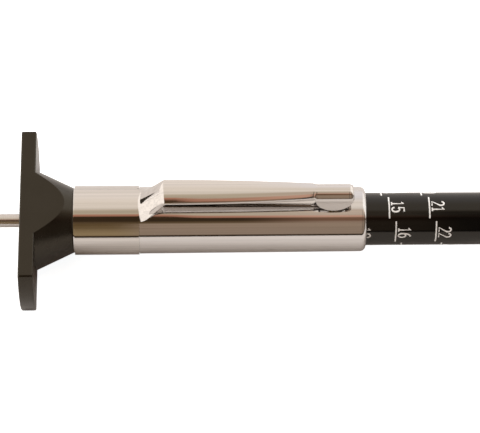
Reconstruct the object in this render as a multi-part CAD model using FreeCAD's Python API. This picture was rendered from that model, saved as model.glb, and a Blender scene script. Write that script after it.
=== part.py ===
import FreeCAD, Part
import math
import os

from FreeCAD import Vector

# A pencil-shaped gauge for the depth of a tyre's tread, in millimetres.
# The origin is the centre of the foot's measuring face, and +X runs from there along the stem.
# +Z is up, square to the foot's two flats, and the pocket clip is on top.
# An angle round the axis is counted from +Z towards +Y.

# Foot: a round stop with two flats and a conical hub, moulded in one piece
foot_radius = 13.45
foot_half_height = 5.4
foot_thickness = 2.25
foot_edge_round = 0.25
hub_base_radius = 7.43
hub_length = 5.6
spigot_length = 12.0
spigot_lead_in = 0.4

# Probe pin
pin_radius = 1.0
pin_tip_round = 0.25
pin_clearance = 0.06
pin_hole_chamfer = 0.3

# Barrel: a tube with a seat for the clip's band in front and a lip rolled inwards at the rear
bore_radius = 4.45
seat_wall = 0.35
front_wall = 0.55
rear_wall = 0.39
barrel_length = 43.45
shoulder_length = 0.1
lip_thickness = 0.4
lip_round = 0.8

# Pocket clip: one piece of sheet, from the band round the barrel to the folded ears
sheet = 0.35
band_setback = 0.15
band_length = 9.6
band_seam_gap = 0.15
band_shoulder_gap = 0.05
neck_root_angle = 34.3
neck_relief_angle = 1.8
neck_relief_depth = 1.0
neck_slope = 46.0
neck_low_radius = 1.0
neck_high_radius = 3.5
neck_steps = 14
clip_height = 8.9
arm_half_width = 1.97
arm_rim_angle = 24.0
arm_length = 20.84
arm_taper = 0.0013
arm_steps = 6
tip_length = 6.0
fold_radius = 0.95
fold_limit = 0.95
ear_radius = 2.93
ear_setback = 0.05

# Stem with its scale
stem_radius = 3.93
stem_clearance = 0.08
stem_tail = 9.0
stem_end_chamfer = 0.5
scale_length = 25.0
reading_at_rest = 11.66
mark_pitch = 1.0
mark_width = 0.27
mark_depth = 0.08
mark_sweep = 53.4
reference_mark = 15
reference_mark_angle = -2.5
column_angle = -60.0

# Stem head: a turned bush that holds the pin, stops against the lip and carries the friction ring
head_length = 4.0
head_clearance = 0.06
head_chamfer = 0.2
head_stop_gap = 0.05
shank_radius = 2.2
shank_length = 6.0
socket_end_gap = 0.3
pin_socket_depth = 7.0
ring_section_radius = 0.5
ring_clearance = 0.03

# How far a cutting body reaches past what it cuts
cut_reach = 1.0

# Radii that follow from the fits
seat_radius = bore_radius + seat_wall
barrel_front_radius = bore_radius + front_wall
barrel_rear_radius = bore_radius + rear_wall
lip_radius = stem_radius + stem_clearance
band_radius = seat_radius + sheet
head_radius = bore_radius - head_clearance
groove_radius = bore_radius - 2 * (ring_section_radius + ring_clearance)
groove_half_width = ring_section_radius + ring_clearance
ring_radius = groove_radius + ring_clearance + ring_section_radius

# Places along the axis
barrel_front = foot_thickness + hub_length
barrel_rear = barrel_front + barrel_length
band_front = barrel_front + band_setback
band_rear = band_front + band_length
shoulder_front = band_rear + band_shoulder_gap
shoulder_rear = shoulder_front + shoulder_length
neck_front = band_rear - neck_relief_depth
lip_front = barrel_rear - lip_thickness
pin_tip = -reading_at_rest
head_rear = lip_front - head_stop_gap - reading_at_rest
head_front = head_rear - head_length
ring_centre = (head_front + head_rear) / 2
scale_zero = barrel_rear - reading_at_rest
mark_count = round(scale_length / mark_pitch) + 1
stem_end = scale_zero + scale_length + stem_tail

axis_start = Vector(0, 0, 0)
axis_direction = Vector(1, 0, 0)


# Turned and moulded round forms

def at(x, radius):
    return Vector(x, 0, radius)


def polyline(points):
    """Straight edges through points given as (x, radius)."""
    return [Part.LineSegment(at(*a), at(*b)).toShape() for a, b in zip(points, points[1:])]


def turn(edges, sweep=360.0, start=0.0):
    """The solid swept by a closed outline round the axis, from one angle through another."""
    face = Part.Face(Part.Wire(Part.__sortEdges__(edges)))
    solid = face.revolve(axis_start, axis_direction, -sweep)
    solid.rotate(axis_start, axis_direction, -start)
    return Part.Solid(solid)


def ring(front, rear, inner, outer, sweep=360.0, start=0.0):
    """A ring, or a stretch of one, between two places and two radii."""
    corners = [(front, inner), (front, outer), (rear, outer), (rear, inner), (front, inner)]
    return turn(polyline(corners), sweep, start)


def rod(front, rear, radius):
    return Part.makeCylinder(radius, rear - front, at(front, 0), axis_direction)


def edges_in_plane(shape, x):
    return [e for e in shape.Edges if all(abs(v.X - x) < 1e-4 for v in e.Vertexes)]


# Foot

def make_foot():
    outline = polyline([
        (0, 0),
        (0, foot_radius),
        (foot_thickness, foot_radius),
        (foot_thickness, hub_base_radius),
        (barrel_front, seat_radius),
        (barrel_front, 0),
        (0, 0),
    ])
    width = 2 * foot_radius
    slab = Part.makeBox(barrel_front, width, 2 * foot_half_height, Vector(0, -foot_radius, -foot_half_height))
    foot = turn(outline).common(slab)
    rim = edges_in_plane(foot, 0)
    rim += [e for e in edges_in_plane(foot, foot_thickness) if e.BoundBox.YMax > hub_base_radius
            or e.BoundBox.YMin < -hub_base_radius]
    foot = foot.makeFillet(foot_edge_round, rim)
    spigot = rod(barrel_front, barrel_front + spigot_length, bore_radius)
    spigot = spigot.makeChamfer(spigot_lead_in, edges_in_plane(spigot, barrel_front + spigot_length))
    foot = foot.fuse(spigot)
    hole_radius = pin_radius + pin_clearance
    hole = rod(0, barrel_front + spigot_length, hole_radius)
    mouth = Part.makeCone(hole_radius + pin_hole_chamfer, hole_radius, pin_hole_chamfer,
                          axis_start, axis_direction)
    return foot.cut(hole).cut(mouth).removeSplitter()


# Barrel

def make_barrel_tube():
    round_centre = (barrel_rear - lip_round, barrel_rear_radius - lip_round)
    round_middle = (round_centre[0] + lip_round * math.sin(math.radians(45)),
                    round_centre[1] + lip_round * math.cos(math.radians(45)))
    round_start = (round_centre[0], barrel_rear_radius)
    round_end = (barrel_rear, round_centre[1])
    edges = polyline([
        round_end,
        (barrel_rear, lip_radius),
        (lip_front, lip_radius),
        (lip_front, bore_radius),
        (barrel_front, bore_radius),
        (barrel_front, seat_radius),
        (shoulder_front, seat_radius),
        (shoulder_rear, barrel_front_radius),
        round_start,
    ])
    edges.append(Part.Arc(at(*round_start), at(*round_middle), at(*round_end)).toShape())
    return turn(edges)


# Pocket clip

slope = math.radians(neck_slope)
neck_rise = clip_height - band_radius
neck_arc_rise = (neck_low_radius + neck_high_radius) * (1 - math.cos(slope))
neck_straight = (neck_rise - neck_arc_rise) / math.sin(slope)
neck_low_arc = neck_low_radius * slope
neck_high_arc = neck_high_radius * slope
neck_run = neck_low_arc + neck_straight + neck_high_arc
neck_rear = (neck_front + (neck_low_radius + neck_high_radius) * math.sin(slope)
             + neck_straight * math.cos(slope))
arm_rear = neck_rear + arm_length
tip_rear = arm_rear + tip_length


def neck_place(run):
    """Place and slope of the crown line, a distance along the neck from the band."""
    if run <= neck_low_arc:
        turned = run / neck_low_radius
        x = neck_front + neck_low_radius * math.sin(turned)
        return x, band_radius + neck_low_radius * (1 - math.cos(turned)), turned
    left = neck_run - run
    if left <= neck_high_arc:
        turned = left / neck_high_radius
        x = neck_rear - neck_high_radius * math.sin(turned)
        return x, clip_height - neck_high_radius * (1 - math.cos(turned)), turned
    along = run - neck_low_arc
    x = neck_front + neck_low_radius * math.sin(slope) + along * math.cos(slope)
    z = band_radius + neck_low_radius * (1 - math.cos(slope)) + along * math.sin(slope)
    return x, z, slope


def arm_half_width_at(x):
    """Half the arm's width, which narrows faster and faster towards the folded end."""
    return arm_half_width - arm_taper * (x - neck_rear) ** 2


def fold_round():
    """The folds' outer radius, which the tip's narrow end limits."""
    return min(fold_radius, fold_limit * arm_half_width_at(tip_rear))


def crowned_section(x, z, tilt, half_width, rim_angle):
    """The sheet's cross-section: an arch that stands square to the crown line."""
    outwards = Vector(-math.sin(tilt), 0, math.cos(tilt))
    sideways = Vector(0, 1, 0)
    radius = half_width / math.sin(rim_angle)
    centre = Vector(x, 0, z) - outwards * radius

    def on_arch(distance, angle):
        return centre + outwards * (distance * math.cos(angle)) + sideways * (distance * math.sin(angle))

    outer = [on_arch(radius, a) for a in (-rim_angle, 0, rim_angle)]
    inner = [on_arch(radius - sheet, a) for a in (rim_angle, 0, -rim_angle)]
    return Part.Wire([
        Part.Arc(*outer).toShape(),
        Part.LineSegment(outer[2], inner[0]).toShape(),
        Part.Arc(*inner).toShape(),
        Part.LineSegment(inner[2], outer[0]).toShape(),
    ])


def make_neck():
    """The double bend that lifts the sheet from the band to the arm's height, narrowing on the way."""
    root_angle = math.radians(neck_root_angle)
    rim_angle = math.radians(arm_rim_angle)
    root_half_width = band_radius * math.sin(root_angle)
    sections = []
    for step in range(neck_steps + 1):
        share = step / neck_steps
        half_width = arm_half_width + (root_half_width - arm_half_width) * (1 - share ** 1.5) ** 2.6
        angle = rim_angle + (root_angle - rim_angle) * (1 - share) ** 8
        sections.append(crowned_section(*neck_place(neck_run * share), half_width, angle))
    return Part.makeLoft(sections, True, False)


def make_arm():
    """The crowned arm, from the neck to the folded end."""
    sections = []
    for step in range(arm_steps + 1):
        x = neck_rear + arm_length * step / arm_steps
        sections.append(crowned_section(x, clip_height, 0, arm_half_width_at(x), math.radians(arm_rim_angle)))
    return Part.makeLoft(sections, True, False)


def tip_block(inset, front, bottom):
    """The folded end as a solid block with rounded top edges, set in by part of the sheet."""
    rear = tip_rear - inset
    top = clip_height - inset
    front_half_width = arm_half_width_at(front) - inset
    rear_half_width = arm_half_width_at(rear) - inset
    corners = [
        Vector(front, -front_half_width, bottom),
        Vector(rear, -rear_half_width, bottom),
        Vector(rear, rear_half_width, bottom),
        Vector(front, front_half_width, bottom),
    ]
    block = Part.Face(Part.makePolygon(corners + corners[:1])).extrude(Vector(0, 0, top - bottom))
    top_edges = [e for e in block.Edges if all(abs(v.Z - top) < 1e-4 for v in e.Vertexes)]
    folded = [e for e in top_edges if any(v.X > rear - 1e-4 for v in e.Vertexes)]
    return block.makeFillet(fold_round() - inset, folded)


def make_tip():
    """The two half-moon ears and the short lip, folded down from the arm's end."""
    fold_bottom = clip_height - fold_round()
    bottom = fold_bottom - ear_radius - cut_reach
    shell = tip_block(0, arm_rear, bottom).cut(tip_block(sheet, arm_rear - cut_reach, bottom - cut_reach))
    reach = arm_half_width + cut_reach
    ear_centre = arm_rear + ear_radius + ear_setback
    top_part = Part.makeBox(tip_length + cut_reach, 2 * reach, fold_round() + cut_reach,
                            Vector(arm_rear, -reach, fold_bottom))
    moon = Part.makeCylinder(ear_radius, 2 * reach, Vector(ear_centre, -reach, fold_bottom), Vector(0, 1, 0))
    return shell.common(top_part.fuse(moon))


def make_pocket_clip():
    band = ring(band_front, band_rear, seat_radius, band_radius)
    seam = Part.makeBox(band_length, band_seam_gap, 2 * sheet,
                        Vector(band_front, -band_seam_gap / 2, -band_radius - sheet / 2))
    window_angle = neck_root_angle + neck_relief_angle
    window = ring(neck_front, band_rear + sheet, seat_radius - sheet, band_radius + sheet,
                  2 * window_angle, -window_angle)
    band = band.cut(seam).cut(window)
    return band.multiFuse([make_neck(), make_arm(), make_tip()])


# Stem and scale

def make_mark(number, depth, proud):
    """One ring mark of the scale, in the column that its number falls in."""
    middle = scale_zero + number * mark_pitch
    angle = reference_mark_angle + column_angle * (number - reference_mark)
    return ring(middle - mark_width / 2, middle + mark_width / 2, stem_radius - depth, stem_radius + proud,
                mark_sweep, angle - mark_sweep / 2)


def make_scale_marks():
    return Part.makeCompound([make_mark(n, mark_depth, 0) for n in range(mark_count)])


def make_scale_stem():
    stem = rod(head_rear, stem_end, stem_radius)
    stem = stem.makeChamfer(stem_end_chamfer, edges_in_plane(stem, stem_end))
    socket = rod(head_rear, head_rear + shank_length + socket_end_gap, shank_radius)
    grooves = [make_mark(n, mark_depth, mark_depth) for n in range(mark_count)]
    return stem.cut([socket] + grooves)


# Pin, stem head and friction ring

def make_probe_pin():
    rear = head_front + pin_socket_depth
    pin = rod(pin_tip, rear, pin_radius)
    return pin.makeFillet(pin_tip_round, edges_in_plane(pin, pin_tip))


def make_stem_head():
    outline = polyline([
        (head_front, 0),
        (head_front, head_radius - head_chamfer),
        (head_front + head_chamfer, head_radius),
        (ring_centre - groove_half_width, head_radius),
        (ring_centre - groove_half_width, groove_radius),
        (ring_centre + groove_half_width, groove_radius),
        (ring_centre + groove_half_width, head_radius),
        (head_rear, head_radius),
        (head_rear, shank_radius),
        (head_rear + shank_length, shank_radius),
        (head_rear + shank_length, 0),
        (head_front, 0),
    ])
    return turn(outline).cut(rod(head_front, head_front + pin_socket_depth, pin_radius))


def make_friction_ring():
    return Part.makeTorus(ring_radius, ring_section_radius, at(ring_centre, 0), axis_direction)


parts = {
    "foot": make_foot,
    "barrel_tube": make_barrel_tube,
    "pocket_clip": make_pocket_clip,
    "scale_stem": make_scale_stem,
    "scale_marks": make_scale_marks,
    "probe_pin": make_probe_pin,
    "stem_head": make_stem_head,
    "friction_ring": make_friction_ring,
}

os.makedirs("parts", exist_ok=True)
for name, make in parts.items():
    shape = make()
    shape.exportStep(f"parts/{name}.step")
    box = shape.BoundBox
    print(f"{name}: {len(shape.Solids)} solid(s), valid {shape.isValid()}, {shape.Volume:.2f} mm3, "
          f"x {box.XMin:.2f} to {box.XMax:.2f}, y {box.YMin:.2f} to {box.YMax:.2f}, "
          f"z {box.ZMin:.2f} to {box.ZMax:.2f}")
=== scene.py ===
# %% [markdown]
# A tread depth gauge is a small thing of chrome, black plastic and white print. Its parts come in from the
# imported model, which holds their true places. This file dresses them: it turns, bends and prints smooth
# pieces over the plain ones, gives each a finish, and sets up a table, a sky, two lamps and a camera.

import math

import bmesh
import bpy
from mathutils import Matrix, Vector


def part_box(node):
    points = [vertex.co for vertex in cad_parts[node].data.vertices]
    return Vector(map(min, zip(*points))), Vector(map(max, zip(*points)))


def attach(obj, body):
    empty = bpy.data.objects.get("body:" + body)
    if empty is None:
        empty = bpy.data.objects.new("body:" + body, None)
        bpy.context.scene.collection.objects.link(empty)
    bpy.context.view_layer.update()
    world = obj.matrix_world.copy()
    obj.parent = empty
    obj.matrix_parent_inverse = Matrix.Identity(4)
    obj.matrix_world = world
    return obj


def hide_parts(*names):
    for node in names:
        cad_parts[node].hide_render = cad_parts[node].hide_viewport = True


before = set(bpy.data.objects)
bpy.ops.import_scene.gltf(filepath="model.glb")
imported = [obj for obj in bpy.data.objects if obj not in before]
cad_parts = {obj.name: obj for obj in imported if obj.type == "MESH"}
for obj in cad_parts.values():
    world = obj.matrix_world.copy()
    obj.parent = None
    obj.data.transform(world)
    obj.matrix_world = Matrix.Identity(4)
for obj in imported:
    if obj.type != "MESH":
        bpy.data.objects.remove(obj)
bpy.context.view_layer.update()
print("nodes:", sorted(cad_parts))

# %% [markdown]
# The model is in metres, with X along the gauge from the foot's measuring face and Z up. A gauge maker thinks
# in millimetres, so every size below is written in them. The lengths that the frame already knows are read
# from it, so that each dressed piece sits exactly on the one it stands for.

# %% Sizes
mm = 0.001
degree = math.radians(1)


def reach(node):
    """Where a node of the frame starts and ends along the gauge."""
    low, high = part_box(node)
    return low.x, high.x


foot_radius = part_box("foot")[1].y
foot_half_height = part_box("foot")[1].z
foot_thickness = 2.25 * mm
hub_base_radius = 7.43 * mm
edge_round = 0.25 * mm

tube_front, tube_rear = reach("barrel_tube")
bore_radius = 4.45 * mm
seat_radius = 4.8 * mm
tube_front_radius = 5.0 * mm
tube_rear_radius = 4.84 * mm
shoulder_front = 17.58 * mm
shoulder_length = 0.03 * mm
lip_thickness = 0.4 * mm
lip_round = 0.8 * mm
lip_radius = 4.01 * mm

stem_front, stem_rear = reach("scale_stem")
stem_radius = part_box("scale_stem")[1].z
pin_tip, pin_rear = reach("probe_pin")
pin_radius = 1.0 * mm
for name in ("foot", "barrel_tube", "pocket_clip", "scale_stem", "probe_pin"):
    front, rear = reach(name)
    print(f"{name}: from {front / mm:.2f} to {rear / mm:.2f} mm")

# %% [markdown]
# Turned parts are most of this gauge. On a lathe a tool follows an outline while the work turns, and a spin
# does the same to a row of edges. The outline is drawn as points of place and radius, with arcs where the
# real edge is rounded. A spin doesn't know which side is the outside, so the volume of each closed shell is
# worked out afterwards, and a shell whose volume comes out negative is turned round.

# %% Turning
turn_steps = 192
weld_distance = 0.0005 * mm
axis = Vector((1, 0, 0))
origin = Vector((0, 0, 0))


def arc(x, radius, size, start, end, steps):
    """Points on an arc, as place and radius. Its angles count from the radius direction towards +X."""
    angles = [start + (end - start) * i / steps for i in range(steps + 1)]
    return [(x + size * math.sin(a * degree), radius + size * math.cos(a * degree)) for a in angles]


def face_outwards(bm):
    """Turns each closed shell of a bmesh so that its faces point outwards."""
    bmesh.ops.recalc_face_normals(bm, faces=bm.faces)
    waiting = set(bm.faces)
    while waiting:
        shell = [waiting.pop()]
        for face in shell:
            beside = {other for edge in face.edges for other in edge.link_faces} & waiting
            waiting -= beside
            shell.extend(beside)
        volume = sum(face.calc_center_median().dot(face.normal) * face.calc_area() for face in shell)
        if volume < 0:
            bmesh.ops.reverse_faces(bm, faces=shell)


def spin_outline(points, steps=turn_steps, closed=False):
    """A bmesh turned from an outline of (place, radius) points."""
    bm = bmesh.new()
    row = [bm.verts.new((x, 0, r)) for x, r in points]
    pairs = list(zip(row, row[1:])) + ([(row[-1], row[0])] if closed else [])
    edges = [bm.edges.new(pair) for pair in pairs]
    bmesh.ops.spin(bm, geom=row + edges, cent=origin, axis=axis, angle=math.tau, steps=steps, use_merge=True)
    bmesh.ops.remove_doubles(bm, verts=bm.verts, dist=weld_distance)
    face_outwards(bm)
    return bm


# %% [markdown]
# A smooth shade, with the sharp edges marked by their angle, keeps a turned piece round and its corners
# crisp. Beside a small rounded edge it would bend what a wide face mirrors, so weighted normals let the wide
# face keep its own direction. Every piece then rides on its body, and the nodes that it stands for are hidden.

# %% Smoothing and pieces
crease_angle = 28 * degree
fine_crease_angle = 20 * degree


def mark_creases(bm, limit):
    """Smooth faces, with edges kept sharp where the surface turns by more than the limit."""
    for face in bm.faces:
        face.smooth = True
    for edge in bm.edges:
        edge.smooth = len(edge.link_faces) == 2 and edge.calc_face_angle(0) < limit


def keep_flats(piece):
    """Lets wide faces keep their own normals, so that small rounded edges don't bend what they mirror."""
    shading = piece.modifiers.new("shading", "WEIGHTED_NORMAL")
    shading.keep_sharp = True
    shading.weight = 100


def add_object(name, bm, finish):
    """Puts a bmesh into the scene as an object with one finish."""
    mesh = bpy.data.meshes.new(name)
    bm.to_mesh(mesh)
    bm.free()
    obj = bpy.data.objects.new(name, mesh)
    bpy.context.scene.collection.objects.link(obj)
    mesh.materials.append(finish)
    return obj


def make_piece(name, bm, body, slot, finish, *nodes, crease=crease_angle):
    """Turns a bmesh into a named piece that rides on a body and stands for some nodes."""
    mark_creases(bm, crease)
    piece = add_object(name, bm, finish)
    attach(piece, body)
    if nodes:
        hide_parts(*nodes)
    print(f"{name}: {len(piece.data.polygons)} faces")
    return piece


# %% [markdown]
# A finish is a small sum: a noise, stretched or squeezed, decides how rough or how dark each spot is. Written
# as nodes, such a sum gets long and hard to read. So one small class stands for a socket, and plus, times and
# divided by on it add the Math nodes.

# %% Shader sums
class Wire:
    """A node's output, which can be used in sums."""

    def __init__(self, pen, socket):
        self.pen = pen
        self.socket = socket

    def sum_with(self, operation, first, second):
        return self.pen.node("ShaderNodeMath", {"operation": operation}, {0: first, 1: second})[0]

    def __add__(self, other):
        return self.sum_with("ADD", self, other)

    def __mul__(self, other):
        return self.sum_with("MULTIPLY", self, other)

    def __truediv__(self, other):
        return self.sum_with("DIVIDE", self, other)

    def __rtruediv__(self, other):
        return self.sum_with("DIVIDE", other, self)

    __radd__ = __add__
    __rmul__ = __mul__


# %% [markdown]
# A second class writes any node into a node tree, with its settings first and then its inputs. The few kinds
# that come back again and again, such as a noise or a mix of two colours, get a short name of their own.

# %% Writing nodes
class Pen:
    """Writes nodes into a node tree."""

    def __init__(self, tree):
        self.tree = tree

    def put(self, value, socket):
        if isinstance(value, Wire):
            self.tree.links.new(value.socket, socket)
        elif socket.type == "RGBA":
            socket.default_value = (*value, 1)
        else:
            socket.default_value = value

    def node(self, kind, settings=None, sockets=None):
        """Adds a node. Its settings come first, then the values or wires of its inputs."""
        node = self.tree.nodes.new(kind)
        for name, value in (settings or {}).items():
            setattr(node, name, value)
        for name, value in (sockets or {}).items():
            self.put(value, node.inputs[name])
        return [Wire(self, socket) for socket in node.outputs]

    def spot(self, stretch):
        """Places on the object, each axis stretched by its own factor."""
        place = self.node("ShaderNodeTexCoord")[3]
        return self.node("ShaderNodeMapping", {}, {"Vector": place, "Scale": stretch})[0]

    def noise(self, stretch, detail, roughness=0.5):
        """Noise from 0 to 1. The stretch is how many blotches there are per metre along each axis."""
        sockets = {"Vector": self.spot(stretch), "Scale": 1, "Detail": detail, "Roughness": roughness}
        return self.node("ShaderNodeTexNoise", {}, sockets)[0]

    def mix(self, share, first, second):
        """One colour turning into another as the share goes from 0 to 1."""
        sockets = {0: share, 6: first, 7: second}
        return self.node("ShaderNodeMix", {"data_type": "RGBA"}, sockets)[2]

    def between(self, value, low, high, to_low=0, to_high=1):
        """Maps a value's range onto another, held at both ends."""
        sockets = {0: value, 1: low, 2: high, 3: to_low, 4: to_high}
        return self.node("ShaderNodeMapRange", {"interpolation_type": "SMOOTHSTEP"}, sockets)[0]

    def bump(self, height, depth):
        """A normal for a surface whose height goes from 0 to the depth, in metres."""
        return self.node("ShaderNodeBump", {}, {"Height": height, "Distance": depth})[0]


# %% [markdown]
# A finish is one Principled shader. What is the same all over goes straight onto its sockets, and what
# changes over the surface comes from the nodes that a function paints.

# %% A finish
def make_finish(name, fixed, painted):
    """A finish with fixed values on the shader and painted ones that vary over the surface."""
    material = bpy.data.materials.new(name)
    material.use_nodes = True
    pen = Pen(material.node_tree)
    shader = material.node_tree.nodes["Principled BSDF"]
    for socket, value in {**fixed, **painted(pen)}.items():
        pen.put(value, shader.inputs[socket])
    return material


# %% [markdown]
# Chrome has almost no colour of its own, so its look is in how cleanly it mirrors. A drawn tube keeps faint
# lines from the die all the way along it, under the plating. They are noise that is stretched very long, used
# as a very shallow bump: a thousandth of a millimetre already makes a reflection waver.

# %% Chrome finishes
fine_along = 18
coarse_along = 9
line_shade = 0.88


def drawn_lines(pen, fine, coarse):
    """Long lines along the gauge, fine ones on top of coarse ones."""
    fine_lines = pen.noise((fine_along, fine, fine), detail=2)
    coarse_lines = pen.noise((coarse_along, coarse, coarse), detail=1)
    return fine_lines * 0.5 + coarse_lines * 0.5


def chrome(name, tint, fine, coarse, depth):
    """Chrome of a tint, its drawn lines a little darker. Fine and coarse are lines per metre round it."""
    def painted(pen):
        lines = drawn_lines(pen, fine, coarse)
        haze = pen.noise((160, 260, 260), detail=4, roughness=0.6)
        darker = tuple(line_shade * c for c in tint)
        return {
            "Base Color": pen.mix(pen.between(lines, 0.38, 0.6), darker, tint),
            "Roughness": pen.between(haze, 0.3, 0.75, 0.03, 0.08),
            "Normal": pen.bump(lines, depth),
        }
    return make_finish(name, {"Metallic": 1.0}, painted)


tube_chrome = chrome("chrome_drawn_tube", (0.665, 0.645, 0.635), 4500, 1300, 0.0012 * mm)
sheet_chrome = chrome("chrome_stamped_sheet", (0.645, 0.615, 0.59), 4000, 1100, 0.001 * mm)

# %% [markdown]
# The foot is black plastic from a finely blasted mould. It hardly has any colour: what shows is a soft
# sheen, broken up by a fine grain. The stem is the same black, but polished, so its sheen is narrow, with
# faint scuffs along it from sliding in the barrel. A thin film of dust lifts the black a little where it lies.

# %% Black plastic finishes
def moulded_black(pen):
    grain = pen.noise((9000, 9000, 9000), detail=2)
    cloud = pen.noise((220, 220, 220), detail=4)
    deep, dusty = (0.0028, 0.0024, 0.0016), (0.0048, 0.0042, 0.003)
    return {
        "Base Color": pen.mix(pen.between(cloud, 0.35, 0.7), deep, dusty),
        "Roughness": pen.between(cloud, 0.3, 0.7, 0.21, 0.28),
        "Normal": pen.bump(grain, 0.0012 * mm),
    }


def polished_black(pen):
    cloud = pen.noise((90, 300, 300), detail=4)
    scuffs = pen.noise((30, 2600, 2600), detail=2)
    deep, dusty = (0.0006, 0.0006, 0.0006), (0.0016, 0.0014, 0.0012)
    return {
        "Base Color": pen.mix(pen.between(cloud, 0.35, 0.7), deep, dusty),
        "Roughness": pen.between(cloud, 0.3, 0.7, 0.09, 0.14) + pen.between(scuffs, 0.6, 0.8, 0, 0.08),
        "Normal": pen.bump(scuffs, 0.0006 * mm),
    }


foot_sheen = {"IOR": 1.5, "Specular Tint": (1, 0.87, 0.68)}
stem_sheen = {"IOR": 1.45, "Specular Tint": (1, 0.94, 0.84)}
foot_black = make_finish("black_moulded_plastic", foot_sheen, moulded_black)
stem_black = make_finish("black_polished_plastic", stem_sheen, polished_black)

# %% [markdown]
# White paint fills the scale's marks. It is matte and a little uneven: thinner at some spots, where the black
# shows through. The probe pin is ground steel, with grinding lines round it. The head inside the barrel is
# turned brass with lines from the lathe tool, and the ring on it is soft black rubber.

# %% Paint, steel, brass and rubber
def white_fill(pen):
    patch = pen.noise((2600, 2600, 2600), detail=3)
    return {
        "Base Color": pen.mix(pen.between(patch, 0.3, 0.55), (0.6, 0.6, 0.6), (0.8, 0.81, 0.82)),
        "Roughness": pen.between(patch, 0.3, 0.7, 0.45, 0.65),
        "Normal": pen.bump(patch, 0.004 * mm),
    }


def lathe_lines(pitch, light, dark, smooth, rough, depth):
    """Lines round the axis, as a grinding wheel or a lathe tool leaves them."""
    def painted(pen):
        lines = pen.noise((1 / pitch, 30, 30), detail=2)
        return {
            "Base Color": pen.mix(pen.between(lines, 0.35, 0.7), light, dark),
            "Roughness": pen.between(lines, 0.3, 0.7, smooth, rough),
            "Normal": pen.bump(lines, depth),
        }
    return painted


def soft_rubber(pen):
    grain = pen.noise((5000, 5000, 5000), detail=3)
    return {
        "Base Color": pen.mix(grain, (0.012, 0.012, 0.012), (0.03, 0.029, 0.028)),
        "Roughness": pen.between(grain, 0.3, 0.7, 0.6, 0.8),
        "Normal": pen.bump(grain, 0.006 * mm),
    }


mark_white = make_finish("white_mark_paint", {}, white_fill)
steel_lines = lathe_lines(0.05 * mm, (0.62, 0.59, 0.57), (0.5, 0.47, 0.45), 0.16, 0.26, 0.0006 * mm)
brass_lines = lathe_lines(0.12 * mm, (0.8, 0.6, 0.3), (0.62, 0.44, 0.2), 0.22, 0.34, 0.002 * mm)
pin_steel = make_finish("ground_steel", {"Metallic": 1.0}, steel_lines)
head_brass = make_finish("turned_brass", {"Metallic": 1.0}, brass_lines)
ring_rubber = make_finish("black_seal_rubber", {}, soft_rubber)
print("finishes:", sorted(m.name for m in bpy.data.materials if m.users))

# %% [markdown]
# The barrel is a drawn tube. Its front end is turned down as a seat for the clip's band, with a small
# shoulder behind it, and its rear end is rolled inwards round the stem. One outline holds all of that, inside
# and outside, so that the wall has its real thickness where the open end shows it.

# %% Barrel tube
def make_tube():
    bend_x = tube_rear - lip_round
    bend_radius = tube_rear_radius - lip_round
    edge = 0.12 * mm
    points = [
        (tube_front, bore_radius),
        (tube_front, seat_radius),
        (shoulder_front, seat_radius),
        (shoulder_front + shoulder_length, tube_front_radius),
        *arc(bend_x, bend_radius, lip_round, 0, 90, 16),
        *arc(tube_rear - edge, lip_radius + edge, edge, 90, 180, 4),
        (tube_rear - lip_thickness, lip_radius),
        (tube_rear - lip_thickness, bore_radius),
    ]
    return spin_outline(points, closed=True)


barrel = make_piece("barrel_tube_skin", make_tube(), "barrel", "chromed_tube", tube_chrome, "barrel_tube")
keep_flats(barrel)

# %% [markdown]
# The stem is a plain polished rod with a chamfered end. Its front end is bored for the head, out of sight.
# The probe pin is a ground rod, whose tip has its edge broken so that it can't scratch a tyre.

# %% Stem and pin
def make_stem():
    head_bore_end = stem_front + 6.3 * mm
    head_bore_radius = 2.2 * mm
    chamfer = 0.5 * mm
    soft = 0.15 * mm
    near, far = 0.4 * soft, 0.6 * soft
    points = [
        (head_bore_end, 0),
        (head_bore_end, head_bore_radius),
        (stem_front, head_bore_radius),
        (stem_front, stem_radius),
        (stem_rear - chamfer - soft, stem_radius),
        (stem_rear - chamfer + near, stem_radius - far),
        (stem_rear - far, stem_radius - chamfer + near),
        (stem_rear, stem_radius - chamfer - soft),
        (stem_rear, 0),
    ]
    return spin_outline(points)


def make_pin():
    tip_round = 0.25 * mm
    points = [
        (pin_tip, 0),
        *arc(pin_tip + tip_round, pin_radius - tip_round, tip_round, -90, 0, 6),
        (pin_rear, pin_radius),
        (pin_rear, 0),
    ]
    return spin_outline(points, steps=96)


stem = make_piece("scale_stem_skin", make_stem(), "stem", "black_stem", stem_black, "scale_stem")
pin = make_piece("probe_pin_skin", make_pin(), "stem", "pin_steel", pin_steel, "probe_pin")
keep_flats(stem)
keep_flats(pin)

# %% [markdown]
# The foot is a round stop with a conical hub, moulded in one and then flat on two sides. Turning it and
# slicing both flats off with a plane gives the hub the curved outline that a cone has where a plane cuts it.
# Sharp moulded edges don't exist, so each outer edge is rounded with a bevel.

# %% Foot
outer_edge_angle = 25 * degree
hair = 0.01 * mm


def cut_flat(bm, height):
    """Slices off everything past a flat, and closes the cut."""
    everything = bm.verts[:] + bm.edges[:] + bm.faces[:]
    cut = bmesh.ops.bisect_plane(bm, geom=everything, plane_co=(0, 0, height), plane_no=(0, 0, height),
                                 clear_outer=True)
    rim = [e for e in cut["geom_cut"] if isinstance(e, bmesh.types.BMEdge)]
    bmesh.ops.contextual_create(bm, geom=rim)


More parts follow.
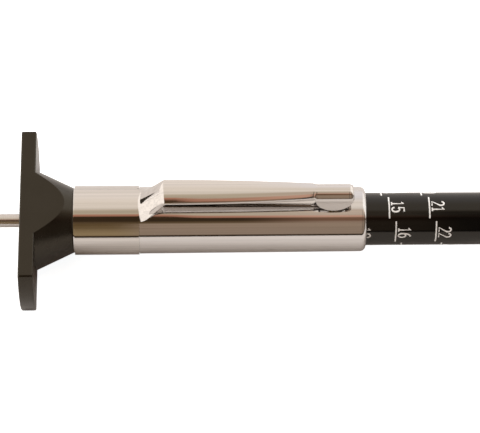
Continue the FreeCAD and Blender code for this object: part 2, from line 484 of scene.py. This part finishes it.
def make_foot():
    hole_radius = 1.06 * mm
    mouth = 0.3 * mm
    past_mouth = 2 * mm
    spigot_rear = tube_front + 12 * mm
    points = [
        (0, hole_radius + mouth),
        (0, foot_radius),
        (foot_thickness, foot_radius),
        (foot_thickness, hub_base_radius),
        (tube_front, seat_radius),
        (tube_front, bore_radius),
        (spigot_rear, bore_radius),
        (spigot_rear, hole_radius),
        (mouth, hole_radius),
    ]
    bm = spin_outline(points, steps=256, closed=True)
    for height in (-foot_half_height, foot_half_height):
        cut_flat(bm, height)
    bmesh.ops.remove_doubles(bm, verts=bm.verts, dist=hair)
    face_outwards(bm)
    outer = [e for e in bm.edges
             if len(e.link_faces) == 2 and e.calc_face_angle_signed(0) > outer_edge_angle
             and all(v.co.x < foot_thickness + hair and v.co.yz.length > past_mouth for v in e.verts)]
    bmesh.ops.bevel(bm, geom=outer, offset=edge_round, offset_type="OFFSET", segments=5, profile=0.5,
                    affect="EDGES", material=-1, clamp_overlap=False)
    return bm


foot = make_piece("foot_body", make_foot(), "barrel", "black_plastic", foot_black, "foot",
                  crease=fine_crease_angle)
keep_flats(foot)

# %% [markdown]
# The pocket clip is the cleverest piece: one strip of sheet is a band round the barrel, then steps up through
# a double bend into a crowned arm, and ends in two half-moon ears folded down beside a short lip. It is built
# as one skin, grown row by row from the band's edge. Solidify then gives it the thickness of the sheet.

# %% Clip sizes
sheet = 0.35 * mm
band_front = reach("pocket_clip")[0]
band_rear = band_front + 9.55 * mm
band_radius = seat_radius + sheet
band_seam_gap = 0.15 * mm
root_angle = 34.3 * degree
relief_angle = 1.0 * degree
relief_depth = 0.3 * mm
neck_slope = 47.8 * degree
low_bend = 0.6 * mm
high_bend = 1.1 * mm
clip_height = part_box("pocket_clip")[1].z
arm_rear = 43.1 * mm
clip_rear = 49.15 * mm
print(f"band from {band_front / mm:.2f} to {band_rear / mm:.2f} mm, clip to {clip_rear / mm:.2f} mm")

# %% [markdown]
# From the side the neck is a double bend: a tight turn up off the band, a straight run, and a wider turn
# back level with the gauge. How long the sheet is along that line comes first, and then the place of any
# point on it. The slope at that point says later which way the section leans.

# %% Neck line
neck_front = band_rear - relief_depth
bends_rise = (low_bend + high_bend) * (1 - math.cos(neck_slope))
straight = (clip_height - band_radius - bends_rise) / math.sin(neck_slope)
neck_run = (low_bend + high_bend) * neck_slope + straight
neck_rear = neck_front + (low_bend + high_bend) * math.sin(neck_slope) + straight * math.cos(neck_slope)


def neck_place(run):
    """The crown line's place, height and slope at a distance along the neck."""
    low_end = low_bend * neck_slope
    left = neck_run - run
    if run <= low_end:
        turned = run / low_bend
        x = neck_front + low_bend * math.sin(turned)
        return x, band_radius + low_bend * (1 - math.cos(turned)), turned
    if left <= high_bend * neck_slope:
        turned = left / high_bend
        x = neck_rear - high_bend * math.sin(turned)
        return x, clip_height - high_bend * (1 - math.cos(turned)), turned
    along = run - low_end
    x = neck_front + low_bend * math.sin(neck_slope) + along * math.cos(neck_slope)
    z = band_radius + low_bend * (1 - math.cos(neck_slope)) + along * math.sin(neck_slope)
    return x, z, neck_slope


print(f"neck {neck_run / mm:.2f} mm long, arm from {neck_rear / mm:.2f} to {arm_rear / mm:.2f} mm")

# %% [markdown]
# A section across the sheet is drawn in four stretches on each side of the crown line: a shallow arch, a
# straight flank, a tightly rolled edge and a short straight skirt. Each takes its share of the points, so
# that the tight roll gets as many as it needs.

# %% Pressed section
arm_half_width = 2.08 * mm
crown_angle = 24.5 * degree
flank = 0.4 * mm
edge_roll = 0.36 * mm
crown_end, flank_end, roll_end = 0.42, 0.54, 0.88


def part_way(place, start, end):
    """How far a place is on the way from a start to an end, held from 0 to 1."""
    return min(1, max(0, (place - start) / (end - start)))


def pressed_section(half_width, skirt, side):
    """Half-width and drop below the crown of a point on the arm's section, its side from 0 to 1."""
    down_flank = flank * part_way(side, crown_end, flank_end)
    arch = (half_width - edge_roll - flank * math.cos(crown_angle)) / math.sin(crown_angle)
    angle = crown_angle * part_way(side, 0, crown_end)
    y = arch * math.sin(angle) + down_flank * math.cos(crown_angle)
    drop = arch * (1 - math.cos(angle)) + down_flank * math.sin(crown_angle)
    angle += (90 * degree - crown_angle) * part_way(side, flank_end, roll_end)
    hanging = skirt * part_way(side, roll_end, 1)
    return y + edge_roll * math.sin(angle), drop + edge_roll * (1 - math.cos(angle)) + hanging


widest = pressed_section(arm_half_width, 0, 1)
print(f"section {2 * widest[0] / mm:.2f} mm wide and {widest[1] / mm:.2f} mm deep")

# %% [markdown]
# On the neck the band's plain arc turns into that section, sooner in its drop than in its width, which is why
# the neck has a waist. Its sides lag a little behind its middle. The arm keeps the section, but it narrows
# along a curve, and towards its rear the skirt grows longer.

# %% Neck and arm
neck_rows = 40
arm_rows = 12
narrowing_power = 2.2
flattening_power = 4.8
neck_lag = 0.3 * mm
lag_start = 0.15
arm_narrowing = 0.00155 / mm
arm_fall = 0.06 * mm
skirt_front = 0.1 * mm
skirt_rear = 0.4 * mm
skirt_start = 0.375


def ease(value):
    """A smooth step from 0 to 1."""
    value = min(max(value, 0), 1)
    return value * value * (3 - 2 * value)


def neck_point(share, side):
    """The band's arch turning into the arm's section on the way up."""
    x, z, tilt = neck_place(neck_run * share)
    width, drop = pressed_section(arm_half_width, skirt_front, abs(side))
    narrowing = (1 - share) ** narrowing_power
    flattening = (1 - share) ** flattening_power
    y = width + (band_radius * math.sin(root_angle * abs(side)) - width) * narrowing
    drop += (band_radius * (1 - math.cos(root_angle * side)) - drop) * flattening
    x += neck_lag * side * side * ease(share / lag_start) * (1 - share)
    return Vector((x + drop * math.sin(tilt), math.copysign(y, side), z - drop * math.cos(tilt)))


def arm_point(x, side):
    """A point of the arm, whose side goes from -1 to 1 across it."""
    along = (x - neck_rear) / (arm_rear - neck_rear)
    half_width = arm_half_width - arm_narrowing * (x - neck_rear) ** 2
    skirt = skirt_front + (skirt_rear - skirt_front) * ease(part_way(along, skirt_start, 1))
    width, drop = pressed_section(half_width, skirt, abs(side))
    return Vector((x, math.copysign(width, side), clip_height - arm_fall * ease(along) - drop))


print(f"arm {2 * arm_point(arm_rear, 1).y / mm:.2f} mm wide at its rear")

# %% [markdown]
# The folded end has its own section: nearly half a circle, flat for a hair at its top, with an ear hanging
# from each side. How far an ear hangs at each place follows the circle of its half-moon. Past the ears only
# the lip is left, rounded over at its end. The arm's section fades into this one over the first rows.

# %% Folded end
tip_flat = 0.115 * mm
tip_fold = 1.35 * mm
tip_height = 8.78 * mm
tip_end_round = 0.75 * mm
ear_radius = 2.85 * mm
ear_middle = Vector((46.2 * mm, 0, 8.2 * mm))
ear_splay = 6 * degree
fade = 0.6 * mm


def folded_point(x, side):
    """A point on the folded end, whose side goes from -1 at one ear's hem to 1 at the other's."""
    fold_middle = tip_height - tip_fold
    from_middle = min(abs(x - ear_middle.x), ear_radius)
    hem = ear_middle.z - math.sqrt(ear_radius ** 2 - from_middle ** 2)
    full = 90 * degree + ear_splay
    hem_angle = min(full, math.acos(min(1, max(-1, (hem - fold_middle) / tip_fold))))
    ear_top = fold_middle + tip_fold * math.cos(full)
    hanging = max(0, (ear_top - hem) / math.cos(ear_splay))
    length = abs(side) * (tip_flat + tip_fold * hem_angle + hanging)
    angle = min(hem_angle, max(0, length - tip_flat) / tip_fold)
    below = max(0, length - tip_flat - tip_fold * hem_angle)
    y = min(length, tip_flat) + tip_fold * math.sin(angle) + below * math.sin(ear_splay)
    z = fold_middle + tip_fold * math.cos(angle) - below * math.cos(ear_splay)
    past = max(0, x - (clip_rear - tip_end_round)) / tip_end_round
    return Vector((x, math.copysign(y, side), z - tip_end_round * (1 - math.sqrt(max(0, 1 - past * past)))))


def tip_point(x, side):
    """The arm's section turning into the folded end over its first stretch."""
    return arm_point(x, side).lerp(folded_point(x, side), ease((x - arm_rear) / fade))


# %% [markdown]
# Rows of faces cost little where they are few and show every bend where they are many. So they lie close
# together where the fade, the half-moons and the rounded end turn quickly. The three groups of rows keep a
# small distance where they meet, so that no face is squeezed to nothing.

# %% Rows of the folded end
fade_rows = 8
moon_rows = 48
ending_rows = 10
least_row = 0.02 * mm


def tip_columns():
    """Places of the rows over the folded end, close together where an outline turns quickly."""
    front = [arm_rear + fade * i / fade_rows for i in range(1, fade_rows + 1)]
    moon = [ear_middle.x - ear_radius * math.cos(math.pi * i / moon_rows) for i in range(moon_rows + 1)]
    rear = clip_rear - tip_end_round
    ending = [rear + tip_end_round * math.sin(math.pi / 2 * i / ending_rows) for i in range(ending_rows + 1)]
    return front + [x for x in moon if front[-1] + least_row < x < rear - least_row] + ending


columns = tip_columns()
print(f"folded end: {len(columns)} rows, the last at {columns[-1] / mm:.2f} mm")

# %% [markdown]
# The skin starts as one vertex on the band's front edge. Turned round the axis it leaves a chain of edges,
# and each new row is that chain, extruded and laid out anew. The seam below and the two relief slits beside
# the neck stay open by themselves, because no row is grown there.

# %% Clip band
band_side_steps = 60
section_steps = 48
near = 0.001 * mm


def sweep(bm, vertex, angle, steps):
    """Turns a vertex round the axis into a chain of edges, and gives the chain's last vertex."""
    made = bmesh.ops.spin(bm, geom=[vertex], cent=origin, axis=axis, angle=angle, steps=steps)
    return [v for v in made["geom_last"] if isinstance(v, bmesh.types.BMVert)][0]


def grow(bm, edges):
    """Extrudes a chain of edges into a row of faces. Gives the new vertices and the new chain."""
    made = bmesh.ops.extrude_edge_only(bm, edges=edges)["geom"]
    row = {v for v in made if isinstance(v, bmesh.types.BMVert)}
    return row, [e for e in made if isinstance(e, bmesh.types.BMEdge) and set(e.verts) <= row]


def push_rows(bm, edges, x):
    """Grows a row of faces along the gauge, straight from a chain of edges."""
    row, chain = grow(bm, edges)
    for vertex in row:
        vertex.co.x = x
    return chain


def make_band(bm):
    """The band with its seam below and its two relief slits. Gives the chain that the neck grows from."""
    seam_angle = band_seam_gap / 2 / band_radius
    side_angle = math.pi - seam_angle - root_angle - relief_angle
    start = bm.verts.new((band_front, 0, band_radius))
    bmesh.ops.rotate(bm, verts=[start], cent=origin, matrix=Matrix.Rotation(-root_angle, 3, "X"))
    end = start
    for angle, steps in ((2 * root_angle, section_steps), (relief_angle, 1), (side_angle, band_side_steps)):
        end = sweep(bm, end, angle, steps)
    for angle, steps in ((-relief_angle, 1), (-side_angle, band_side_steps)):
        start = sweep(bm, start, angle, steps)
    rows = push_rows(bm, bm.edges[:], neck_front)
    top = band_radius * math.cos(root_angle)
    low = band_radius * math.cos(root_angle + relief_angle)
    neck = [e for e in rows if all(v.co.z > top - near for v in e.verts)]
    sides = [e for e in rows if all(v.co.z < low + near for v in e.verts)]
    push_rows(bm, sides, band_rear)
    return neck


# %% [markdown]
# The neck, the arm and the folded end grow on from the band's middle chain, each row laid out by the shapes
# above. The last row drops straight down as the lip. Doubles are merged before the normals are set.

# %% Clip skin
lip_bottom = 7.55 * mm
lip_least = 0.05 * mm


def grow_row(bm, edges, shape):
    """Grows a row of faces from a chain and lays its vertices out by a shape of the side."""
    row, chain = grow(bm, edges)
    ordered = sorted(row, key=lambda v: math.atan2(v.co.y, v.co.z))
    for number, vertex in enumerate(ordered):
        vertex.co = shape(2 * number / (len(ordered) - 1) - 1)
    return chain


def make_clip():
    bm = bmesh.new()
    chain = make_band(bm)
    for row in range(1, neck_rows + 1):
        chain = grow_row(bm, chain, lambda side: neck_point(row / neck_rows, side))
    for row in range(1, arm_rows + 1):
        x = neck_rear + (arm_rear - neck_rear) * row / arm_rows
        chain = grow_row(bm, chain, lambda side: arm_point(x, side))
    for x in columns:
        chain = grow_row(bm, chain, lambda side: tip_point(x, side))
    for vertex in grow(bm, chain)[0]:
        vertex.co.z = min(vertex.co.z - lip_least, lip_bottom)
    bmesh.ops.remove_doubles(bm, verts=bm.verts, dist=0.002 * mm)
    bmesh.ops.recalc_face_normals(bm, faces=bm.faces)
    top = max(bm.faces, key=lambda f: f.calc_center_median().z)
    if top.normal.z < 0:
        bmesh.ops.reverse_faces(bm, faces=bm.faces)
    return bm


clip = make_piece("pocket_clip_sheet", make_clip(), "barrel", "chromed_sheet", sheet_chrome, "pocket_clip")

# %% [markdown]
# Solidify thickens the skin inwards, towards the barrel, so its normals had to point out. A small bevel then
# breaks the cut edges of the sheet. Both are baked into the mesh, because the creases of the new wall have to
# be marked once more.

# %% Clip wall
def settle(obj, crease):
    """Bakes an object's modifiers into its mesh and marks the creases anew."""
    graph = bpy.context.evaluated_depsgraph_get()
    shaped = bpy.data.meshes.new_from_object(obj.evaluated_get(graph))
    obj.modifiers.clear()
    obj.data = shaped
    bm = bmesh.new()
    bm.from_mesh(shaped)
    mark_creases(bm, crease)
    bm.to_mesh(shaped)
    bm.free()


wall = clip.modifiers.new("wall", "SOLIDIFY")
wall.thickness = sheet
wall.offset = -1
edge_break = clip.modifiers.new("edge_break", "BEVEL")
edge_break.width = 0.05 * mm
edge_break.segments = 2
edge_break.limit_method = "ANGLE"
edge_break.angle_limit = 50 * degree
settle(clip, fine_crease_angle)
print(f"{clip.name}: {len(clip.data.polygons)} faces with its wall")

# %% [markdown]
# The scale winds round the stem: each millimetre has a short mark, a sixth of a turn on from the last, with
# its number beside it, so that the numbers stay large enough to read. The marks are short turned ridges of
# paint, sunk a little into the stem so that no gap shows under them.

# %% Scale marks
scale_length = 25
packed_mark_width = 0.27 * mm
scale_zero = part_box("scale_marks")[0].x + packed_mark_width / 2
top_number = 15
top_number_angle = -2.5
turn_per_mark = 60
mark_width = 0.22 * mm
mark_sweep = 53.4 * degree
paint_height = 0.025 * mm
paint_depth = 0.05 * mm


def mark_angle(number):
    """Where round the stem a mark's middle is, counted from the top towards +Y."""
    return (top_number_angle - turn_per_mark * (number - top_number)) * degree


def make_marks():
    bm = bmesh.new()
    half = mark_width / 2
    soft = 0.03 * mm
    low, high = stem_radius - paint_depth, stem_radius + paint_height
    for number in range(scale_length + 1):
        x = scale_zero + number * mm
        outline = [(x - half, low), (x - half, high - soft), (x - half + soft, high), (x + half - soft, high),
                   (x + half, high - soft), (x + half, low)]
        row = [bm.verts.new((px, 0, pr)) for px, pr in outline]
        edges = [bm.edges.new(pair) for pair in zip(row, row[1:] + row[:1])]
        cap = bm.faces.new(row)
        turn = Matrix.Rotation(-mark_angle(number) - mark_sweep / 2, 3, "X")
        bmesh.ops.rotate(bm, verts=row, cent=origin, matrix=turn)
        bmesh.ops.spin(bm, geom=row + edges + [cap], cent=origin, axis=axis, angle=mark_sweep, steps=24)
    face_outwards(bm)
    return bm


make_piece("scale_mark_paint", make_marks(), "stem", "white_paint", mark_white, "scale_marks")

# %% [markdown]
# Each numeral is a few strokes on a grid four units wide and seven high, as if drawn with a pen of even
# width. A stroke is a row of points, with arcs where the pen goes round.

# %% Numeral strokes
numeral_height = 2.05 * mm
numeral_width = 0.72 * mm
numeral_pitch = 0.98 * mm
numeral_gap = 0.16 * mm
pen_width = 0.25 * mm
grid_width = 4
grid_height = 7


def loop(x, y, wide, high, start, end, steps=14):
    """Points on an oval, its angles counted from the right, against the clock."""
    angles = [(start + (end - start) * i / steps) * degree for i in range(steps + 1)]
    return [(x + wide * math.cos(a), y + high * math.sin(a)) for a in angles]


strokes = {
    "0": [loop(2, 5, 2, 2, 0, 180) + loop(2, 2, 2, 2, 180, 360) + [(4, 5)]],
    "1": [[(0.6, 5.6), (2, 7), (2, 0)], [(0.5, 0), (3.5, 0)]],
    "2": [loop(2, 5.2, 1.9, 1.8, 165, -30) + [(0, 0), (4, 0)]],
    "3": [loop(2, 5.3, 1.8, 1.7, 160, -80) + loop(2, 1.9, 2, 1.9, 80, -160)],
    "4": [[(3, 0), (3, 7), (0, 2.2), (4, 2.2)]],
    "5": [[(3.7, 7), (0.5, 7), (0.3, 3.9)] + loop(2, 2.2, 2, 2.2, 130, -160)],
    "6": [[(3, 7)] + loop(2.6, 2.6, 2.6, 4.2, 110, 175, 8) + loop(2, 2.1, 2, 2.1, 180, 540, 22)],
    "7": [[(0, 7), (4, 7), (1.4, 0)]],
    "8": [loop(2, 5.3, 1.7, 1.7, 270, 630, 22), loop(2, 1.85, 2, 1.85, 90, 450, 22)],
    "9": [[(1, 0)] + loop(1.4, 4.4, 2.6, 4.2, -70, -5, 8) + loop(2, 4.9, 2, 2.1, 0, 360, 22)],
}
print("strokes:", {digit: len(lines) for digit, lines in strokes.items()})

# %% [markdown]
# A number is drawn flat first, its strokes as open curves with a round bevel. Then its width is wound round
# the stem, its height runs along the stem, and its bevel, made shallow, becomes the raised paint.

# %% Numerals
def flat_numeral(text):
    """A number drawn flat, its middle at the origin and its top towards +Y."""
    curve = bpy.data.curves.new("numeral", "CURVE")
    curve.dimensions = "3D"
    curve.bevel_depth = pen_width / 2
    curve.bevel_resolution = 3
    curve.use_fill_caps = True
    for place, digit in enumerate(text):
        left = (place - (len(text) - 1) / 2) * numeral_pitch - numeral_width / 2
        for points in strokes[digit]:
            line = curve.splines.new("POLY")
            line.points.add(len(points) - 1)
            for point, (x, y) in zip(line.points, points):
                point.co = (left + x / grid_width * numeral_width, y / grid_height * numeral_height, 0, 1)
    drawn = bpy.data.objects.new("numeral", curve)
    mesh = bpy.data.meshes.new_from_object(drawn)
    bpy.data.objects.remove(drawn)
    bpy.data.curves.remove(curve)
    return mesh


def make_numerals():
    bm = bmesh.new()
    shrink = (numeral_height - pen_width) / numeral_height
    for number in range(scale_length + 1):
        mesh = flat_numeral(str(number))
        kept = len(bm.verts)
        bm.from_mesh(mesh)
        bpy.data.meshes.remove(mesh)
        bm.verts.ensure_lookup_table()
        base = scale_zero + number * mm + mark_width / 2 + numeral_gap + pen_width / 2
        for vertex in bm.verts[kept:]:
            across, up, rise = vertex.co
            angle = mark_angle(number) - across / stem_radius
            radius = stem_radius + paint_height * rise / (pen_width / 2)
            vertex.co = (base + up * shrink, radius * math.sin(angle), radius * math.cos(angle))
    bmesh.ops.remove_doubles(bm, verts=bm.verts, dist=0.0001 * mm)
    face_outwards(bm)
    return bm


make_piece("scale_numerals", make_numerals(), "stem", "white_paint", mark_white)

# %% [markdown]
# Two pieces stay as the frame has them, because the barrel hides them: the brass head on the stem's front end
# and its friction ring. Their shapes are right already, so they only get their finishes.

# %% Finishes of the hidden pieces
for node, finish in (("stem_head", head_brass), ("friction_ring", ring_rubber)):
    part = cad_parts[node]
    part.data.materials.clear()
    part.data.materials.append(finish)
    print(f"{node}: {finish.name}")

# %% [markdown]
# The gauge lies on a pale table. To the camera the table is lifted to pure white, apart from the gauge's own
# soft shadow. To the chrome it is an ordinary matte sheet, so that the underside of the barrel mirrors it
# with the shade that the gauge itself throws there.

# %% Table
floor_height = -foot_half_height
table_half_size = 1.5
camera_lift = 0.92


def make_table_paint():
    """A pale matte surface, which the camera sees a little brighter than it is."""
    material = bpy.data.materials.new("table")
    material.use_nodes = True
    material.node_tree.nodes.clear()
    pen = Pen(material.node_tree)
    seen = pen.node("ShaderNodeLightPath")[0]
    matte = pen.node("ShaderNodeBsdfDiffuse", {}, {0: (0.79, 0.785, 0.79)})[0]
    lift = pen.node("ShaderNodeEmission", {}, {0: (0.96, 0.985, 1), 1: seen * camera_lift})[0]
    both = pen.node("ShaderNodeAddShader", {}, {0: matte, 1: lift})[0]
    pen.node("ShaderNodeOutputMaterial", {}, {0: both})
    return material


bm = bmesh.new()
bmesh.ops.create_grid(bm, x_segments=1, y_segments=1, size=table_half_size)
bmesh.ops.translate(bm, verts=bm.verts, vec=(0, 0, floor_height))
table = add_object("table", bm, make_table_paint())
print(f"table {2 * table_half_size:.1f} m wide, {floor_height / mm:.2f} mm below the axis")

# %% [markdown]
# Chrome shows whatever stands round it, so the sky of this little studio is half of its look. It is a
# gradient round the gauge's axis: bright and warm above and behind, a narrow reddish band, dark where the
# camera stands, and brown in front down to a thin dark line along the table's edge. Two bright cards, far
# left and far right, give the bent neck and the folded end their white glints, and a dark stand beside the
# camera and a dim far right give them their dark edges. The camera itself sees plain white.

# %% Sky
world = bpy.data.worlds.new("studio")
bpy.context.scene.world = world
world.use_nodes = True
world.node_tree.nodes.clear()
sky = Pen(world.node_tree)
toward = sky.node("ShaderNodeTexCoord")[0]
dx, dy, dz = sky.node("ShaderNodeSeparateXYZ", {}, {0: toward})
around = sky.node("ShaderNodeMath", {"operation": "ARCTAN2"}, {0: dy, 1: dz})[0] / degree
middle = sky.between(dx, -0.02, 0.0)
sideways = sky.between(dx, 0.04, 0.088)
lowered = around + sky.between(dx, 0.01, 0.03) * 6
# Each band: what is measured, where it starts and ends, the share from left to right, and both colours.
bands = [
    (around, -85.5, -82, middle, (0.36, 0.26, 0.14), (0.36, 0.265, 0.195)),
    (around, -78, -45, middle, (0.165, 0.105, 0.045), (0.39, 0.285, 0.205)),
    (around, -46, -39, sideways, (0.14, 0.09, 0.045), (0.34, 0.23, 0.165)),
    (around, -39, -33, sideways, (0.053, 0.032, 0.016), (0.24, 0.13, 0.08)),
    (lowered, -20, -15, sideways, (0.55, 0.26, 0.17), (0.72, 0.42, 0.3)),
    (lowered, -13, -8, sideways, (0.66, 0.56, 0.42), (0.72, 0.58, 0.46)),
    (around, 0, 12, sideways, (1.06, 0.95, 0.83), (1.06, 0.95, 0.84)),
    (around, 30, 60, sideways, (1.14, 1.04, 0.95), (1.12, 1.06, 1.04)),
]
glow_colour = (0.05, 0.035, 0.022)
for place, start, end, share, left, right in bands:
    colour = sky.mix(share, left, right)
    glow_colour = sky.mix(sky.between(place, start, end), glow_colour, colour)
print("sky bands:", len(bands))

# %% [markdown]
# The dark stand and the cards lie over the bands, in that order. The last mix shows the camera plain white,
# while everything that the chrome mirrors stays as painted.

# %% Cards and what the camera sees
left_card = sky.between(dx, -0.3, -0.5)
right_card = sky.between(dx, 0.35, 0.5) * sky.between(around, 5, 20)
stand = sky.between(dx, 0.119, 0.13) * sky.between(dx, 0.24, 0.18) * sky.between(around, 8, -4)
far_side = sky.between(dx, 0.5, 0.65) * sky.between(around, 0, -10) * 0.5
cards = [
    (stand + far_side, (0.05, 0.048, 0.045)),
    (left_card, (1.5, 1.4, 1.3)),
    (right_card, (1.5, 1.44, 1.36)),
]
for share, colour in cards:
    glow_colour = sky.mix(share, glow_colour, colour)
seen = sky.node("ShaderNodeLightPath")[0]
shown = sky.mix(seen, glow_colour, (1, 1, 1))
glow = sky.node("ShaderNodeBackground", {}, {0: shown, 1: 1.0})[0]
sky.node("ShaderNodeOutputWorld", {}, {0: glow})
print("sky nodes:", len(world.node_tree.nodes))

# %% [markdown]
# Two soft lamps stand left and right behind the gauge. They light the table and the matte pieces, and give
# the gauge its soft shadow. Nothing mirrors them, because the sky already holds all that the chrome should
# show.

# %% Lamps
lamp_aim = Vector((32 * mm, 0, 0))


def soft_lamp(name, place, size, power):
    """A round lamp that points at the gauge's middle."""
    lamp = bpy.data.lights.new(name, "AREA")
    lamp.shape = "DISK"
    lamp.size = size
    lamp.energy = power
    lamp.color = (1, 0.985, 0.97)
    holder = bpy.data.objects.new(name, lamp)
    bpy.context.scene.collection.objects.link(holder)
    holder.visible_glossy = False
    toward_gauge = lamp_aim - Vector(place)
    holder.location = place
    holder.rotation_euler = toward_gauge.to_track_quat("-Z", "Y").to_euler()
    print(f"{name}: {power} W, {toward_gauge.length:.2f} m away")


soft_lamp("left_lamp", (-0.5, 0.3, 0.15), 0.45, 2.4)
soft_lamp("right_lamp", (0.55, 0.3, 0.25), 0.6, 2.4)

# %% [markdown]
# The photograph looks down at the gauge from the front at sixty degrees, through a long lens, a third of a
# metre away. The gauge runs a little away from the camera to the right and rises by a fraction of a degree.
# So the camera's axes are worked out one by one, from the way it looks and the way the gauge should lie.

# %% Camera
view_distance = 344 * mm
view_elevation = 60 * degree
view_yaw = 2 * degree
rise_to_right = 0.3 * degree
pixel = 1 / 6.68 * mm
aim_along = 32.6 * mm
aim_rise = 3 * pixel
look_up = Vector((0, math.sin(view_elevation), math.cos(view_elevation)))
look_at = Vector((aim_along, 0, 0)) + aim_rise * look_up

forward = Vector((math.sin(view_yaw), math.cos(view_yaw) * math.cos(view_elevation),
                  -math.cos(view_yaw) * math.sin(view_elevation)))
level = (axis - forward * forward.dot(axis)).normalized()
upright = level.cross(forward)
right = level * math.cos(rise_to_right) - upright * math.sin(rise_to_right)
up = upright * math.cos(rise_to_right) + level * math.sin(rise_to_right)

lens = bpy.data.cameras.new("camera")
lens.sensor_width = 36
lens.lens = 172.5
lens.clip_start = 0.01
lens.clip_end = 20
camera = bpy.data.objects.new("camera", lens)
camera.matrix_world = Matrix.LocRotScale(look_at - forward * view_distance,
                                         Matrix((right, up, -forward)).transposed(), None)
bpy.context.scene.collection.objects.link(camera)
bpy.context.scene.camera = camera
bpy.context.scene.view_settings.view_transform = "Standard"
print("camera at", [round(c / mm, 1) for c in camera.matrix_world.translation], "mm")
